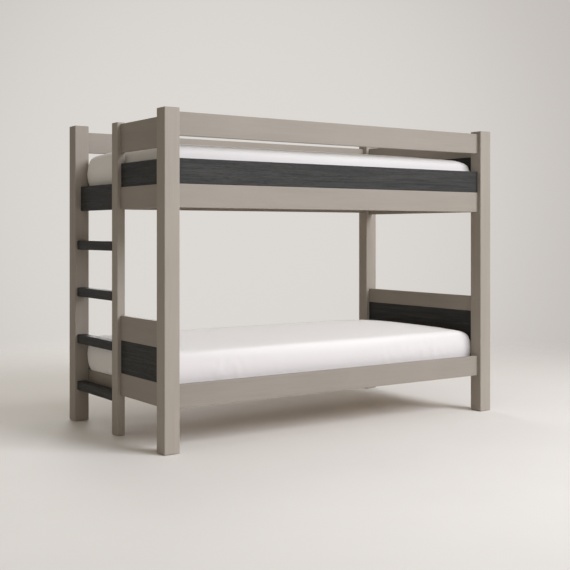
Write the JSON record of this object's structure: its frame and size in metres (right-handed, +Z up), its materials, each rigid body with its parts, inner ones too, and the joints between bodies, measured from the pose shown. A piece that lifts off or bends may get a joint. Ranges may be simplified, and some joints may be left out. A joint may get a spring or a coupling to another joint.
{
  "type": "bunk bed",
  "caption": "Bunk bed on square posts, one single bed above another, with plank sides, accent boards, slatted bases, a built-in end ladder and mattresses in fitted sheets.",
  "frame": {"origin": "on the floor, at the middle of the bed's footprint", "axes": "+X along the bed from the ladder end to the closed end, +Y from the front to the back, +Z up"},
  "size_m": [2.17, 1.14, 1.65],
  "materials": {
    "taupe_wood": "satin",
    "black_wood": "satin",
    "pine": "matte",
    "beech": "matte",
    "steel": "satin",
    "webbing": "matte",
    "ticking": "matte",
    "cotton": "matte",
    "felt": "matte"
  },
  "bodies": {
    "frame": {"front_left_post": "taupe_wood", "front_right_post": "taupe_wood", "back_left_post": "taupe_wood", "back_right_post": "taupe_wood", "ladder_stile": "taupe_wood", "ladder_rung_1": "black_wood", "ladder_rung_2": "black_wood", "ladder_rung_3": "black_wood", "ladder_rung_4": "black_wood", "ladder_header_board": "black_wood", "upper_front_rail": "taupe_wood", "upper_front_accent": "black_wood", "upper_front_guard": "taupe_wood", "upper_back_rail": "taupe_wood", "upper_back_accent": "black_wood", "upper_back_guard": "taupe_wood", "upper_left_rail": "taupe_wood", "upper_left_accent": "black_wood", "upper_left_guard": "taupe_wood", "upper_right_rail": "taupe_wood", "upper_right_accent": "black_wood", "upper_right_guard": "taupe_wood", "lower_front_rail": "taupe_wood", "lower_back_rail": "taupe_wood", "lower_cross_rail": "taupe_wood", "lower_left_rail": "taupe_wood", "lower_left_accent": "black_wood", "lower_left_top_board": "taupe_wood", "lower_right_rail": "taupe_wood", "lower_right_accent": "black_wood", "lower_right_top_board": "taupe_wood", "upper_front_ledger": "pine", "upper_back_ledger": "pine", "lower_front_ledger": "pine", "lower_back_ledger": "pine", "upper_slats": "pine", "lower_slats": "pine", "upper_slat_straps": "webbing", "lower_slat_straps": "webbing", "upper_slat_screws": "steel", "lower_slat_screws": "steel", "upper_ledger_screws": "steel", "lower_ledger_screws": "steel", "upper_hook_plates": "steel", "lower_hook_plates": "steel", "upper_strike_plates": "steel", "lower_strike_plates": "steel", "hook_plate_screws": "steel", "strike_plate_screws": "steel", "guard_dowels": "beech", "accent_dowels": "beech", "cross_rail_dowels": "beech", "floor_glides": "felt"},
    "upper_bedding": {"upper_mattress": "ticking", "upper_fitted_sheet": "cotton"},
    "lower_bedding": {"lower_mattress": "ticking", "lower_fitted_sheet": "cotton"}
  },
  "joints": [
    {"name": "upper_mattress_lift", "type": "slide", "parent": "frame", "child": "upper_bedding", "axis": [0, 0, 1], "range_m": [0, 0.4]},
    {"name": "lower_mattress_lift", "type": "slide", "parent": "frame", "child": "lower_bedding", "axis": [0, 0, 1], "range_m": [0, 0.35]}
  ]
}
